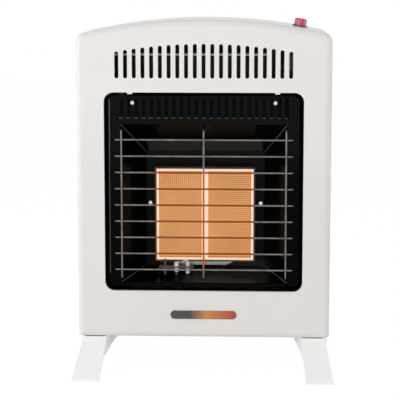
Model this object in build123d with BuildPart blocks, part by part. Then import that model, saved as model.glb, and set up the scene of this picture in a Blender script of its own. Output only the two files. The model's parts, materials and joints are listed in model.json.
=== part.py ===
import math
import os

from build123d import *

# Two-plaque infrared gas heater: a cabinet that hangs on a wall or stands on two feet.
# Millimetres, X to the right, Y to the back, Z up, origin on the floor under the middle.

# Cabinet
body_width = 350.0
body_depth = 170.0
body_height = 441.0
stand_height = 54.0
top_radius = 780.0
shoulder_radius = 13.0
lower_corner_radius = 4.0
front_roll = 8.0
cover_sheet = 1.0
cover_flange = 22.0
panel_sheet = 1.0
fit_gap = 0.2

# Window in the front of the cover
window_width = 274.0
window_height = 276.4
window_sill = 66.0
window_radius = 13.0
window_return = 5.0
tab_width = 7.0
tab_drop = 2.2
tab_spread = 202.0

# Warm-air slots over the window
slot_count = 21
slot_pitch = 11.9
slot_width = 5.4
slot_rise = 19.2
slot_length = 47.0
slot_arc_radius = 680.0

# Black enamelled surround
enamel_sheet = 0.8
surround_recess = 11.0
surround_gap = 1.5
surround_roll = 5.0
surround_wall = 12.0
surround_flange = 12.0
louvre_count = 23
louvre_pitch = 10.35
louvre_width = 4.6
louvre_height = 28.2
louvre_drop = 8.1
louvre_hood = 2.6
louvre_skin = 0.7
louvre_sweep = 6.44
surround_screw_drop = 14.9

# Reflector funnel
mouth_width = 231.0
mouth_height = 221.9
mouth_rise = 9.9
throat_width = 168.0
throat_height = 164.5
throat_rise = 13.2
reflector_depth = 59.0
crossmember_lap = 10.0

# Burner
tile_width = 69.2
tile_height = 132.2
tile_thickness = 12.5
tile_joint = 0.6
tile_rise = 10.7
tile_stand = 18.0
tile_gap = 0.4
tile_recess = 0.6
tile_rim = 4.2
burner_sheet = 1.0
gasket_thickness = 1.5
ledge_width = 5.0
plenum_depth = 32.0
frame_lip = 0.9
ear_width = 16.0
ear_height = 30.0
ear_screw_rise = 79.8
burner_screw_spread = 157.0

# Mixing tube and injector
mixer_radius = 9.0
mixer_wall = 1.0
mixer_length = 44.0
mixer_mouth = 12.0
mixer_rise = 22.0
mixer_entry = 3.0
injector_gap = 3.0
injector_radius = 5.5
injector_length = 14.0
injector_bore = 0.6
injector_nose = 2.0
injector_nut = 4.0
injector_socket = 5.0

# Gas tubes
supply_radius = 4.0
pilot_tube_radius = 2.0
lead_radius = 1.25

# Pilot
pilot_x = -40.0
pilot_stand = 10.0
pilot_spacing = 16.0
pilot_radius = 4.0
pilot_plate = 146.0
pilot_plate_sheet = 1.5
pilot_slot_corner = 3.0
pilot_sleeve = 2.75

# Wire guard
wire_radius = 1.25
wire_rows = 9
wire_pitch = 22.7
wire_rise = 19.3
wire_overhang = 7.5
wire_stand = 5.0
weld_sink = 0.15
upright_inset = 2.0
upright_foot = 7.9
upright_head = 8.0
wire_hole = 0.4
wire_bend = 2.6
wire_tail_length = 4.0
upright_tail_length = 3.0

# Inner chassis
rail_inset = 25.0
rail_low = 100.0
rail_high = 420.0
rail_flange = 12.0
back_flange = 14.0
baffle_level = 448.6
baffle_front = 22.0
baffle_short = 63.0
keyhole_spacing = 200.0
keyhole_level = 428.0
keyhole_head = 5.0
keyhole_neck = 2.6

# Control knob and gas valve
knob_inset = 43.0
knob_radius = 8.6
knob_height = 11.6
knob_press = 4.0
knob_gap = 0.4
collar_radius = 10.6
collar_height = 2.0
collar_lift = 0.1
collar_edge = 0.5
stem_radius = 3.0
stem_flat = 2.2
plug_radius = 6.0
running_fit = 0.05
valve_top = 22.0
valve_width = 30.0
valve_length = 40.0
plug_length = 26.0
bracket_sheet = 1.5

# Gas inlet
inlet_offset = 100.0
inlet_back = 58.0
inlet_radius = 9.5
inlet_tip = 30.0

# Feet
foot_sheet = 1.5
foot_top_inset = 5.7
foot_top_width = 32.9
foot_low_outset = 5.9
foot_low_width = 38.0
foot_top_half = 80.0
foot_reach = 127.0
foot_lip_top = 7.5
foot_lip_low = 5.5
foot_waist = 10.4
foot_waist_half = 30.0
foot_flange_low = 27.0
foot_arch = 40.0
foot_edge = 4.0
foot_screw_inset = 14.0
foot_screw_half = 58.0

# Badge
badge_length = 92.0
badge_height = 12.0
badge_thickness = 1.0
badge_rise = 32.7

# Screws
screw_radius = 2.0
screw_head = 3.6
screw_head_height = 2.2
small_screw_radius = 1.4
small_screw_head = 2.7
screw_hole_gap = 0.15

# Places worked out from the sizes above
rail_face = body_width / 2 - rail_inset
knob_offset = body_width / 2 - knob_inset
foot_outer_top = body_width / 2 - foot_top_inset
foot_inner_top = foot_outer_top - foot_top_width
foot_outer_low = body_width / 2 + foot_low_outset
foot_inner_low = foot_outer_low - foot_low_width
foot_screw_offset = body_width / 2 - foot_screw_inset
front_y = -body_depth / 2
back_y = body_depth / 2
arch_centre = stand_height + body_height - top_radius
window_base = stand_height + window_sill
window_middle = window_base + window_height / 2
window_top = window_base + window_height
surround_y = front_y + surround_recess
surround_back = surround_y + enamel_sheet
flange_y = surround_y + surround_wall
mouth_base = window_base + mouth_rise
mouth_middle = mouth_base + mouth_height / 2
throat_base = mouth_base + throat_rise
throat_middle = throat_base + throat_height / 2
throat_y = surround_back + reflector_depth
tile_base = throat_base + tile_rise
tile_middle = tile_base + tile_height / 2
tile_front = throat_y - tile_stand
tile_back = tile_front + tile_thickness
gasket_back = tile_back + gasket_thickness
plenum_back = gasket_back + burner_sheet + plenum_depth
tile_pair_width = 2 * tile_width + tile_joint
burner_width = tile_pair_width + 2 * tile_gap
burner_height = tile_height + 2 * tile_gap
crossmember_back = throat_y + enamel_sheet
pilot_y = tile_front - pilot_stand
wire_span = mouth_width + 2 * wire_overhang
upright_spread = mouth_width - 2 * upright_inset
upright_bottom = mouth_base + upright_foot
upright_top = mouth_base + mouth_height - upright_head
cover_inside = cover_sheet + fit_gap

os.makedirs("parts", exist_ok=True)


def save(piece, name):
    """Labels a finished piece and writes it."""
    piece.part.label = name
    export_step(piece.part, f"parts/{name}.step")


def cabinet_outline(inset):
    """Front outline of the cabinet, drawn a set distance inside its outer skin."""
    half = body_width / 2 - inset
    low = stand_height + inset
    crown = top_radius - inset
    shoulder = arch_centre + math.sqrt(crown**2 - half**2)
    with BuildSketch() as outline:
        with BuildLine():
            Polyline((-half, shoulder), (-half, low), (half, low), (half, shoulder))
            ThreePointArc((-half, shoulder), (0, arch_centre + crown), (half, shoulder))
        make_face()
        fillet(outline.vertices().group_by(Axis.Y)[-1], max(shoulder_radius - inset, 0.5))
        fillet(outline.vertices().group_by(Axis.Y)[0], max(lower_corner_radius - inset, 0.5))
    return outline.sketch


def facing_plane(y):
    """Upright plane at depth y, seen from the front."""
    return Plane.XZ.offset(-y)


def side_plane(x):
    """Upright plane at offset x, seen from the right."""
    return Plane.YZ.offset(x)


def skin_height(x):
    """Height of the arched top at offset x from the middle."""
    return arch_centre + math.sqrt(top_radius**2 - x**2)


# Axis of the control: square to the arched top
knob_tilt = math.degrees(math.asin(knob_offset / top_radius))
knob_plane = Plane(
    origin=(knob_offset, 0, skin_height(knob_offset)),
    x_dir=(math.cos(math.radians(knob_tilt)), 0, -math.sin(math.radians(knob_tilt))),
    z_dir=(math.sin(math.radians(knob_tilt)), 0, math.cos(math.radians(knob_tilt))),
)
knob_axis = Axis(knob_plane.origin, knob_plane.z_dir)
knob_hole_radius = knob_radius + knob_gap

# Front cover: one pressed shell with a rolled front edge
cover_screw_levels = (110.0, 425.0)
cover_screw_inset = 7.0
with BuildPart() as front_cover:
    with BuildSketch(facing_plane(front_y)):
        add(cabinet_outline(0))
    extrude(amount=-body_depth)
    fillet(front_cover.faces().sort_by(Axis.Y)[0].edges(), front_roll)
    offset(amount=-cover_sheet, openings=front_cover.faces().sort_by(Axis.Y)[-1])
    # Turned-in wall round the window
    with BuildSketch(facing_plane(front_y)):
        with Locations((0, window_middle)):
            RectangleRounded(
                window_width + 2 * cover_sheet,
                window_height + 2 * cover_sheet,
                window_radius + cover_sheet,
            )
    extrude(amount=-window_return)
    with BuildSketch(facing_plane(front_y)):
        with Locations((0, window_middle)):
            RectangleRounded(window_width, window_height, window_radius)
    extrude(amount=-window_return, mode=Mode.SUBTRACT)
    # Two small hooks on the upper edge of the window
    with BuildSketch(facing_plane(front_y + cover_sheet)):
        with Locations((-tab_spread / 2, window_top), (tab_spread / 2, window_top)):
            Rectangle(tab_width, 2 * tab_drop)
    extrude(amount=-cover_sheet)
    # Warm-air slots, longer towards the middle
    with BuildSketch(facing_plane(front_y)):
        for number in range(slot_count):
            x = (number - (slot_count - 1) / 2) * slot_pitch
            drop = slot_arc_radius - math.sqrt(slot_arc_radius**2 - x**2)
            length = slot_length - drop
            with Locations((x, window_top + slot_rise + length / 2)):
                SlotOverall(length, slot_width, rotation=90)
    extrude(amount=-front_roll, mode=Mode.SUBTRACT)
    # Open underside inside a flange, and the hole for the knob
    with BuildSketch(Plane.XY.offset(stand_height)):
        with Locations((0, cover_flange / 2)):
            Rectangle(body_width - 2 * cover_flange, body_depth - cover_flange)
    extrude(amount=cover_sheet, mode=Mode.SUBTRACT)
    with BuildSketch(Plane.XY.offset(stand_height)):
        with GridLocations(2 * foot_screw_offset, 2 * foot_screw_half, 2, 2):
            Circle(screw_radius)
    extrude(amount=cover_sheet, mode=Mode.SUBTRACT)
    with BuildSketch(knob_plane.offset(-2 * cover_sheet)):
        Circle(knob_hole_radius)
    extrude(amount=4 * cover_sheet, mode=Mode.SUBTRACT)
    for level in cover_screw_levels:
        with BuildSketch(side_plane(-body_width / 2)):
            with Locations((back_y - cover_screw_inset, level)):
                Circle(screw_radius + screw_hole_gap)
        extrude(amount=body_width, mode=Mode.SUBTRACT)
save(front_cover, "front_cover")

# Back panel: flanged sheet with wall keyholes and air slots
air_slot_count = 7
air_slot_pitch = 36.0
air_slot_length = 26.0
air_slot_width = 5.0
air_slot_rows = (28.0, 42.0, 56.0)
with BuildPart() as back_panel:
    with BuildSketch(facing_plane(back_y - back_flange)):
        add(cabinet_outline(cover_inside))
    extrude(amount=-back_flange)
    offset(amount=-panel_sheet, openings=back_panel.faces().sort_by(Axis.Y)[0])
    with BuildSketch(facing_plane(back_y - panel_sheet)):
        for x in (-keyhole_spacing / 2, keyhole_spacing / 2):
            with Locations((x, keyhole_level - 2 * keyhole_head)):
                Circle(keyhole_head)
            with Locations((x, keyhole_level - keyhole_head)):
                SlotCenterToCenter(2 * keyhole_head, 2 * keyhole_neck, rotation=90)
        for rise in air_slot_rows:
            with Locations((0, stand_height + rise)):
                with GridLocations(air_slot_pitch, 1, air_slot_count, 1):
                    SlotOverall(air_slot_length, air_slot_width)
    extrude(amount=-panel_sheet, mode=Mode.SUBTRACT)
    for level in cover_screw_levels:
        with BuildSketch(side_plane(-body_width / 2)):
            with Locations((back_y - cover_screw_inset, level)):
                Circle(screw_radius)
        extrude(amount=body_width, mode=Mode.SUBTRACT)
save(back_panel, "back_panel")

# Bottom panel: slotted tray that lies on the flange of the cover
inlet_hole = inlet_radius + 1.0
tray_slot_middle = -8.0
tray_slot_pitch = 16.0
tray_slot_rows = 4
tray_front = front_y + front_roll + fit_gap
tray_back = back_y - back_flange - fit_gap
with BuildPart() as bottom_panel:
    with BuildSketch(Plane.XY.offset(stand_height + cover_sheet)):
        with Locations((0, (tray_front + tray_back) / 2)):
            Rectangle(body_width - 2 * (lower_corner_radius + fit_gap), tray_back - tray_front)
        with Locations((0, tray_slot_middle)):
            with GridLocations(air_slot_pitch, tray_slot_pitch, air_slot_count, tray_slot_rows):
                SlotOverall(air_slot_length, air_slot_width, mode=Mode.SUBTRACT)
        with Locations((inlet_offset, inlet_back)):
            Circle(inlet_hole, mode=Mode.SUBTRACT)
        with GridLocations(2 * foot_screw_offset, 2 * foot_screw_half, 2, 2):
            Circle(screw_radius, mode=Mode.SUBTRACT)
    extrude(amount=panel_sheet)
save(bottom_panel, "bottom_panel")

# Surround: black enamelled frame with a rolled edge and a row of louvres
surround_width = window_width - 2 * surround_gap
surround_height = window_height - 2 * surround_gap
surround_corner = window_radius - surround_gap
surround_screw_x = (louvre_count // 2 - 1.5) * louvre_pitch
surround_screw_z = window_top - surround_screw_drop
louvre_top = window_top - louvre_drop
louvre_base = louvre_top - louvre_height
louvre_middle = louvre_top - louvre_height / 2
with BuildPart() as reflector_surround:
    with BuildSketch(facing_plane(surround_y)):
        with Locations((0, window_middle)):
            RectangleRounded(surround_width, surround_height, surround_corner)
    extrude(amount=-surround_wall)
    fillet(reflector_surround.faces().sort_by(Axis.Y)[0].edges(), surround_roll)
    offset(amount=-enamel_sheet, openings=reflector_surround.faces().sort_by(Axis.Y)[-1])
    with BuildSketch(facing_plane(flange_y - enamel_sheet)):
        with Locations((0, window_middle)):
            Rectangle(2 * rail_face, surround_height + 2 * surround_flange)
            RectangleRounded(
                surround_width - 2 * enamel_sheet,
                surround_height - 2 * enamel_sheet,
                surround_corner - enamel_sheet,
                mode=Mode.SUBTRACT,
            )
    extrude(amount=-enamel_sheet)
    with BuildSketch(facing_plane(surround_y)):
        with Locations((0, mouth_middle)):
            Rectangle(mouth_width, mouth_height)
        with Locations((0, louvre_middle)):
            with GridLocations(louvre_pitch, 1, louvre_count, 1):
                Rectangle(louvre_width, louvre_height)
    extrude(amount=-enamel_sheet, mode=Mode.SUBTRACT)
    # Each louvre is a curved hood, open to the left and closed at both ends
    for number in range(louvre_count):
        right = (number - (louvre_count - 1) / 2) * louvre_pitch + louvre_width / 2
        left = right - louvre_width
        for skin, mode in ((0.0, Mode.ADD), (louvre_skin, Mode.SUBTRACT)):
            with BuildSketch(Plane.XY.offset(louvre_base + skin)):
                with BuildLine():
                    Polyline(
                        (left, surround_y - louvre_hood + skin),
                        (left, surround_back),
                        (right - skin, surround_back),
                        (right - skin, surround_y),
                    )
                    RadiusArc(
                        (right - skin, surround_y),
                        (left, surround_y - louvre_hood + skin),
                        louvre_sweep,
                    )
                make_face()
            extrude(amount=louvre_height - 2 * skin, mode=mode)
    # Holes for the turned-back ends of the guard and for the two upper screws
    with BuildSketch(facing_plane(surround_y)):
        for row in range(wire_rows):
            level = mouth_base + wire_rise + row * wire_pitch
            for x in (-wire_span / 2, wire_span / 2):
                with Locations((x, level)):
                    Circle(wire_radius + wire_hole)
        with Locations((-surround_screw_x, surround_screw_z), (surround_screw_x, surround_screw_z)):
            Circle(small_screw_radius)
    extrude(amount=-enamel_sheet, mode=Mode.SUBTRACT)
save(reflector_surround, "reflector_surround")

# Reflector funnel: four mitred panels between the surround and the crossmember

def funnel_section(y, width, height, middle, skin):
    """Rectangle of the funnel at depth y, a skin thickness larger all round."""
    with BuildSketch(facing_plane(y)) as section:
        with Locations((0, middle)):
            Rectangle(width + 2 * skin, height + 2 * skin)
    return section.sketch


def funnel_mitre(side, upper):
    """Plane through one slanting edge of the funnel, at 45 degrees across the corner."""
    end = 1 if upper else -1
    near = Vector(side * mouth_width / 2, surround_back, mouth_middle + end * mouth_height / 2)
    far = Vector(side * throat_width / 2, throat_y, throat_middle + end * throat_height / 2)
    across = Vector(side, 0, end)
    return Plane(origin=near, x_dir=far - near, z_dir=(far - near).cross(across))


with BuildPart() as funnel:
    for skin, mode in ((enamel_sheet, Mode.ADD), (0, Mode.SUBTRACT)):
        loft(
            [
                funnel_section(surround_back, mouth_width, mouth_height, mouth_middle, skin),
                funnel_section(throat_y, throat_width, throat_height, throat_middle, skin),
            ],
            ruled=True,
            mode=mode,
        )
    # Holes for the ends of the upright wires
    with BuildSketch(facing_plane(surround_back)):
        for x in (-upright_spread / 2, 0, upright_spread / 2):
            for level in (upright_bottom, upright_top):
                with Locations((x, level)):
                    Circle(wire_radius + wire_hole)
    extrude(amount=-reflector_depth, mode=Mode.SUBTRACT)
    # Slot in the floor of the funnel for the pilot, its electrode and its thermocouple
    with BuildSketch(Plane.XY.offset(mouth_base - 2 * enamel_sheet)):
        with Locations((pilot_x, pilot_y)):
            RectangleRounded(2 * pilot_spacing + 4 * pilot_radius, 3 * pilot_radius, pilot_slot_corner)
    extrude(amount=throat_rise + 4 * enamel_sheet, mode=Mode.SUBTRACT)


def funnel_panel(name, toward, corners):
    """Cuts one panel out of the funnel along its two mitres and writes it."""
    with BuildPart() as panel:
        add(funnel.part)
        for side, upper in corners:
            cut = funnel_mitre(side, upper)
            inside = (Vector(*toward) - cut.origin).dot(cut.z_dir) > 0
            split(bisect_by=cut, keep=Keep.TOP if inside else Keep.BOTTOM)
    save(panel, name)


funnel_axis_y = (surround_back + throat_y) / 2
funnel_panel("reflector_top", (0, funnel_axis_y, mouth_base + mouth_height), ((-1, True), (1, True)))
funnel_panel("reflector_bottom", (0, funnel_axis_y, mouth_base), ((-1, False), (1, False)))
funnel_panel("reflector_left", (-mouth_width / 2, funnel_axis_y, mouth_middle), ((-1, True), (-1, False)))
funnel_panel("reflector_right", (mouth_width / 2, funnel_axis_y, mouth_middle), ((1, True), (1, False)))

# Crossmember behind the funnel: carries the burner and spans the two rails
ear_level = tile_base + ear_screw_rise
with BuildPart() as burner_crossmember:
    with BuildSketch(facing_plane(throat_y)):
        with Locations((0, throat_middle)):
            Rectangle(2 * rail_face - 2 * panel_sheet, throat_height + 2 * crossmember_lap)
        with Locations((0, tile_middle)):
            Rectangle(
                burner_width + 2 * burner_sheet + 2 * fit_gap,
                burner_height + 2 * burner_sheet + 2 * fit_gap,
                mode=Mode.SUBTRACT,
            )
        with Locations((-burner_screw_spread / 2, ear_level), (burner_screw_spread / 2, ear_level)):
            Circle(screw_radius, mode=Mode.SUBTRACT)
    extrude(amount=-enamel_sheet)
save(burner_crossmember, "burner_crossmember")

# Burner box: stepped sheet tray, open towards the room, with two side ears
ledge_front = gasket_back
mixer_level = tile_base + mixer_rise
mixer_y = plenum_back - burner_sheet - mixer_radius - mixer_entry
with BuildPart() as burner_box:
    with BuildSketch(facing_plane(tile_front + frame_lip)):
        with Locations((0, tile_middle)):
            Rectangle(burner_width + 2 * burner_sheet, burner_height + 2 * burner_sheet)
    extrude(amount=-(plenum_back - tile_front - frame_lip))
    with BuildSketch(facing_plane(tile_front + frame_lip)):
        with Locations((0, tile_middle)):
            Rectangle(burner_width, burner_height)
    extrude(amount=-(ledge_front - tile_front - frame_lip), mode=Mode.SUBTRACT)
    with BuildSketch(facing_plane(ledge_front)):
        with Locations((0, tile_middle)):
            Rectangle(burner_width - 2 * ledge_width, burner_height - 2 * ledge_width)
    extrude(amount=-burner_sheet, mode=Mode.SUBTRACT)
    with BuildSketch(facing_plane(ledge_front + burner_sheet)):
        with Locations((0, tile_middle)):
            Rectangle(burner_width, burner_height)
    extrude(amount=-(plenum_depth - burner_sheet), mode=Mode.SUBTRACT)
    with BuildSketch(facing_plane(crossmember_back)):
        for side in (-1, 1):
            x = side * (burner_width / 2 + burner_sheet + ear_width / 2)
            with Locations((x, ear_level)):
                Rectangle(ear_width, ear_height)
    extrude(amount=-burner_sheet)
    with BuildSketch(facing_plane(crossmember_back)):
        with Locations((-burner_screw_spread / 2, ear_level), (burner_screw_spread / 2, ear_level)):
            Circle(screw_radius)
    extrude(amount=-burner_sheet, mode=Mode.SUBTRACT)
    with BuildSketch(side_plane(burner_width / 2 - burner_sheet)):
        with Locations((mixer_y, mixer_level)):
            Circle(mixer_radius)
    extrude(amount=3 * burner_sheet, mode=Mode.SUBTRACT)
save(burner_box, "burner_box")

# Fibre gasket between the plaques and the ledge of the box
with BuildPart() as tile_gasket:
    with BuildSketch(facing_plane(tile_back)):
        with Locations((0, tile_middle)):
            Rectangle(burner_width - fit_gap, burner_height - fit_gap)
            Rectangle(
                burner_width - 2 * ledge_width,
                burner_height - 2 * ledge_width,
                mode=Mode.SUBTRACT,
            )
    extrude(amount=-gasket_thickness)
save(tile_gasket, "tile_gasket")

# Ceramic plaques: a plain rim round a perforated field
for name, side in (("ceramic_tile_left", -1), ("ceramic_tile_right", 1)):
    with BuildPart() as ceramic_tile:
        with BuildSketch(facing_plane(tile_front)):
            with Locations((side * (tile_width + tile_joint) / 2, tile_middle)):
                Rectangle(tile_width, tile_height)
        extrude(amount=-tile_thickness)
        with BuildSketch(facing_plane(tile_front)):
            with Locations((side * (tile_width + tile_joint) / 2, tile_middle)):
                Rectangle(tile_width - 2 * tile_rim, tile_height - 2 * tile_rim)
        extrude(amount=-tile_recess, mode=Mode.SUBTRACT)
    save(ceramic_tile, name)

# Retaining frame: thin angle that laps the outer edge of the plaques
with BuildPart() as tile_retaining_frame:
    frame_width = burner_width + 2 * burner_sheet
    frame_height = burner_height + 2 * burner_sheet
    with BuildSketch(facing_plane(tile_front - frame_lip)):
        with Locations((0, tile_middle)):
            Rectangle(frame_width, frame_height)
            Rectangle(
                tile_pair_width - 2 * frame_lip,
                tile_height - 2 * frame_lip,
                mode=Mode.SUBTRACT,
            )
    extrude(amount=-frame_lip)
    with BuildSketch(facing_plane(tile_front)):
        with Locations((0, tile_middle)):
            Rectangle(frame_width, frame_height)
            Rectangle(tile_pair_width + fit_gap, tile_height + fit_gap, mode=Mode.SUBTRACT)
    extrude(amount=-frame_lip)
save(tile_retaining_frame, "tile_retaining_frame")

# Burner screws through the crossmember into the ears
with BuildPart() as burner_screws:
    with BuildSketch(facing_plane(throat_y)):
        with Locations((-burner_screw_spread / 2, ear_level), (burner_screw_spread / 2, ear_level)):
            Circle(screw_head)
    extrude(amount=screw_head_height)
    fillet(burner_screws.faces().sort_by(Axis.Y)[:2].edges(), screw_head_height / 2)
    with BuildSketch(facing_plane(throat_y)):
        with Locations((-burner_screw_spread / 2, ear_level), (burner_screw_spread / 2, ear_level)):
            Circle(screw_radius - screw_hole_gap)
    extrude(amount=-4 * burner_sheet)
save(burner_screws, "burner_screws")

# Mixing tube: bell mouth outside, plain end in the side of the box
mixer_start = burner_width / 2 + burner_sheet
mixer_end = mixer_start + mixer_length
with BuildPart() as mixing_tube:
    with BuildSketch(Plane.XY.offset(mixer_level)):
        with BuildLine():
            Polyline(
                (mixer_end - mixer_mouth, mixer_y + mixer_radius),
                (mixer_start - burner_sheet, mixer_y + mixer_radius),
                (mixer_start - burner_sheet, mixer_y + mixer_radius - mixer_wall),
                (mixer_end - mixer_mouth, mixer_y + mixer_radius - mixer_wall),
            )
            Spline(
                (mixer_end - mixer_mouth, mixer_y + mixer_radius - mixer_wall),
                (mixer_end, mixer_y + mixer_mouth - mixer_wall),
                tangents=[(1, 0), (1, 1)],
            )
            Line(
                (mixer_end, mixer_y + mixer_mouth - mixer_wall),
                (mixer_end, mixer_y + mixer_mouth),
            )
            Spline(
                (mixer_end, mixer_y + mixer_mouth),
                (mixer_end - mixer_mouth, mixer_y + mixer_radius),
                tangents=[(-1, -1), (-1, 0)],
            )
        make_face()
    revolve(axis=Axis((0, mixer_y, mixer_level), (1, 0, 0)))
save(mixing_tube, "mixing_tube")

# Injector: brass nozzle that blows into the bell mouth, held by a bracket on the rail
injector_start = mixer_end - injector_gap
injector_plane = side_plane(injector_start)
injector_hex = injector_radius + 1.5
bracket_x = injector_start + injector_length - injector_nut
with BuildPart() as injector:
    with BuildSketch(injector_plane):
        with Locations((mixer_y, mixer_level)):
            Circle(injector_radius)
    extrude(amount=injector_length)
    chamfer(injector.faces().sort_by(Axis.X)[0].edges(), injector_nose)
    with BuildSketch(side_plane(bracket_x - injector_nut)):
        with Locations((mixer_y, mixer_level)):
            RegularPolygon(injector_hex, 6)
    extrude(amount=injector_nut)
    with BuildSketch(injector_plane):
        with Locations((mixer_y, mixer_level)):
            Circle(injector_bore)
    extrude(amount=injector_length - injector_socket, mode=Mode.SUBTRACT)
    with BuildSketch(side_plane(injector_start + injector_length - injector_socket)):
        with Locations((mixer_y, mixer_level)):
            Circle(supply_radius)
    extrude(amount=injector_socket, mode=Mode.SUBTRACT)
save(injector, "injector")

rail_inner = rail_face - panel_sheet
bracket_width = 26.0
bracket_flange = 12.0
with BuildPart() as injector_bracket:
    with BuildSketch(side_plane(bracket_x)):
        with Locations((mixer_y, mixer_level)):
            Rectangle(bracket_width, bracket_width)
            Circle(injector_radius + fit_gap, mode=Mode.SUBTRACT)
    extrude(amount=bracket_sheet)
    with BuildSketch(Plane.XY.offset(mixer_level - bracket_width / 2)):
        with Locations(((bracket_x + rail_inner) / 2, mixer_y + bracket_width / 2 - bracket_sheet / 2)):
            Rectangle(rail_inner - bracket_x, bracket_sheet)
        with Locations((rail_inner - bracket_sheet / 2, mixer_y + (bracket_width + bracket_flange) / 2)):
            Rectangle(bracket_sheet, bracket_flange)
    extrude(amount=bracket_width)
save(injector_bracket, "injector_bracket")

# Side rails: channels from the surround to the back panel
plate_back = back_y - panel_sheet
for name, side in (("side_rail_left", -1), ("side_rail_right", 1)):
    with BuildPart() as side_rail:
        with BuildSketch(Plane.XY.offset(rail_low)):
            with BuildLine():
                Polyline(
                    (side * rail_face, flange_y),
                    (side * rail_face, plate_back),
                    (side * (rail_face - rail_flange), plate_back),
                    (side * (rail_face - rail_flange), plate_back - panel_sheet),
                    (side * rail_inner, plate_back - panel_sheet),
                    (side * rail_inner, flange_y + panel_sheet),
                    (side * (rail_face - rail_flange), flange_y + panel_sheet),
                    (side * (rail_face - rail_flange), flange_y),
                    close=True,
                )
            make_face()
        extrude(amount=rail_high - rail_low)
    save(side_rail, name)

# Warm-air baffle over the burner: bright sheet with a hemmed front edge
baffle_edge_y = front_y + baffle_front
baffle_left = -rail_inner
baffle_hem = 3.0
with BuildPart() as heat_baffle:
    with BuildSketch(side_plane(baffle_left)):
        with BuildLine():
            Polyline(
                (baffle_edge_y, baffle_level - baffle_hem),
                (baffle_edge_y, baffle_level),
                (plate_back - panel_sheet, baffle_level),
                (plate_back - panel_sheet, baffle_level + rail_flange),
                (plate_back, baffle_level + rail_flange),
                (plate_back, baffle_level - panel_sheet),
                (baffle_edge_y + panel_sheet, baffle_level - panel_sheet),
                (baffle_edge_y + panel_sheet, baffle_level - baffle_hem),
                close=True,
            )
        make_face()
    extrude(amount=rail_inner - baffle_short - baffle_left)
save(heat_baffle, "heat_baffle")

# Gas valve on the axis of the control
valve_plane = knob_plane.offset(-valve_top)
valve_bottom_plane = knob_plane.offset(-valve_top - valve_length)
outlet_offset = 10.0
valve_corner = 4.0
neck_wall = 4.0
neck_height = 3.0
port_depth = 6.0
with BuildPart() as gas_valve_body:
    with BuildSketch(valve_bottom_plane):
        RectangleRounded(valve_width, valve_width, valve_corner)
    extrude(amount=valve_length)
    with BuildSketch(valve_plane):
        Circle(plug_radius + neck_wall)
    extrude(amount=neck_height)
    with BuildSketch(valve_plane.offset(neck_height)):
        Circle(plug_radius + running_fit)
    extrude(amount=-plug_length - neck_height, mode=Mode.SUBTRACT)
    # Sockets for the burner tube, the pilot tube and the inlet tube
    with BuildSketch(valve_bottom_plane):
        with Locations((outlet_offset, 0)):
            Circle(supply_radius + running_fit)
        with Locations((-outlet_offset, -outlet_offset)):
            Circle(pilot_tube_radius + running_fit)
        with Locations((0, outlet_offset)):
            Circle(supply_radius + running_fit)
        with Locations((-outlet_offset, 0), (-outlet_offset, outlet_offset)):
            Circle(lead_radius + running_fit)
    extrude(amount=port_depth, mode=Mode.SUBTRACT)
save(gas_valve_body, "gas_valve_body")

# Plug of the valve: turns with the knob and lets the stem slide through it
plug_floor = 6.0
stem_depth = plug_length - plug_floor


def stem_profile(extra):
    """Round stem with one flat, grown by a clearance."""
    with BuildSketch() as profile:
        Circle(stem_radius + extra)
        with Locations((0, stem_flat + extra + stem_radius)):
            Rectangle(4 * stem_radius, 2 * stem_radius, mode=Mode.SUBTRACT)
    return profile.sketch


with BuildPart() as valve_plug:
    with BuildSketch(valve_plane.offset(neck_height)):
        Circle(plug_radius)
    extrude(amount=-plug_length - neck_height + fit_gap)
    with BuildSketch(valve_plane.offset(neck_height)):
        add(stem_profile(running_fit))
    extrude(amount=-stem_depth - neck_height, mode=Mode.SUBTRACT)
save(valve_plug, "valve_plug")

# Stem: slides in the plug and carries the knob
socket_depth = 7.0
stem_end_gap = 1.0
with BuildPart() as valve_stem:
    with BuildSketch(knob_plane.offset(socket_depth)):
        add(stem_profile(0))
    extrude(amount=-(socket_depth + valve_top + stem_depth - knob_press - stem_end_gap))
save(valve_stem, "valve_stem")

# Collar on the cover round the knob
with BuildPart() as knob_collar:
    with BuildSketch(knob_plane.offset(collar_lift)):
        Circle(collar_radius)
        Circle(knob_hole_radius, mode=Mode.SUBTRACT)
    extrude(amount=collar_height)
    fillet(knob_collar.edges().filter_by(GeomType.CIRCLE).sort_by(knob_axis)[-1], collar_edge)
save(knob_collar, "knob_collar")

# Knob: fluted cap with a rounded top edge
flute_count = 12
flute_radius = 1.3
flute_lift = 1.6
knob_base = 0.6
knob_crown = 2.6
with BuildPart() as control_knob:
    with BuildSketch(knob_plane.offset(knob_base)):
        Circle(knob_radius)
    extrude(amount=knob_height - knob_base)
    fillet(control_knob.edges().filter_by(GeomType.CIRCLE).sort_by(knob_axis)[-1], knob_crown)
    with BuildSketch(knob_plane.offset(collar_height + flute_lift)):
        with PolarLocations(knob_radius + knob_base, flute_count):
            Circle(flute_radius)
    extrude(amount=knob_height, mode=Mode.SUBTRACT)
    with BuildSketch(knob_plane.offset(knob_base)):
        add(stem_profile(0))
    extrude(amount=socket_depth - knob_base, mode=Mode.SUBTRACT)
save(control_knob, "control_knob")

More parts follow.
